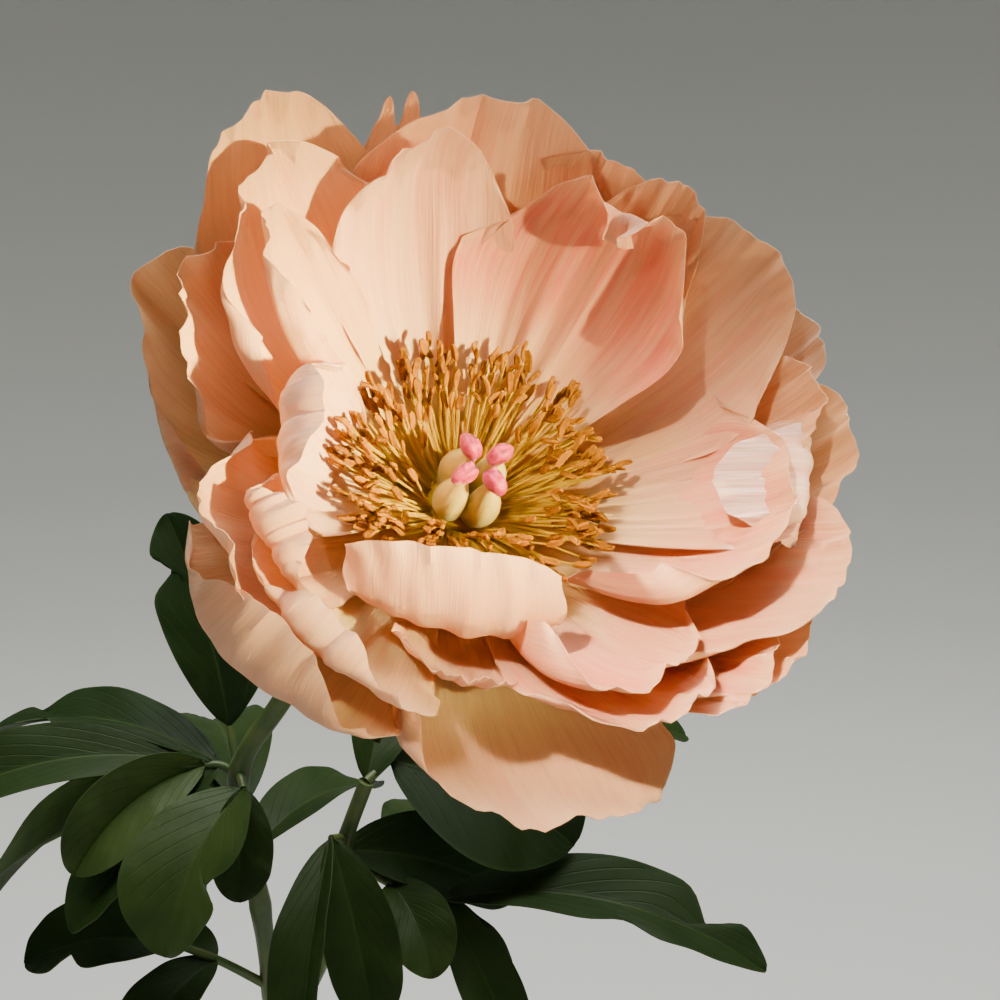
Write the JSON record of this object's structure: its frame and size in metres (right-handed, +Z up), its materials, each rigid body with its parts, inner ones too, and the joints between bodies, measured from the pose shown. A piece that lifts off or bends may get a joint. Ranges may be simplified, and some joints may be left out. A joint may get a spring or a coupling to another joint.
{
  "type": "peony in a bud vase",
  "caption": "Wide open coral peony with golden stamens and divided dark leaves, standing in water in a narrow-necked glazed bud vase.",
  "frame": {"origin": "centre of the vase's foot, on the surface that the vase stands on", "axes": "+Z up along the vase's axis; -Y is the side that the bloom faces and the picture is taken from; +X is to the right as seen from there"},
  "size_m": [0.247, 0.2209, 0.4192],
  "materials": {
    "petal": "soft matte petal with a satin sheen, translucent",
    "stamen": "matte golden yellow",
    "carpel": "pale green skin with pink stigmas",
    "green": "waxy leaf, darker above than below",
    "glaze": "plain off-white gloss glaze",
    "water": "clear"
  },
  "bodies": {
    "root": {"vase": "glaze", "water": "water", "flowering_stem": "green", "leafy_shoot": "green", "petals": "petal", "stamens": "stamen", "carpels": "carpel"}
  },
  "joints": []
}
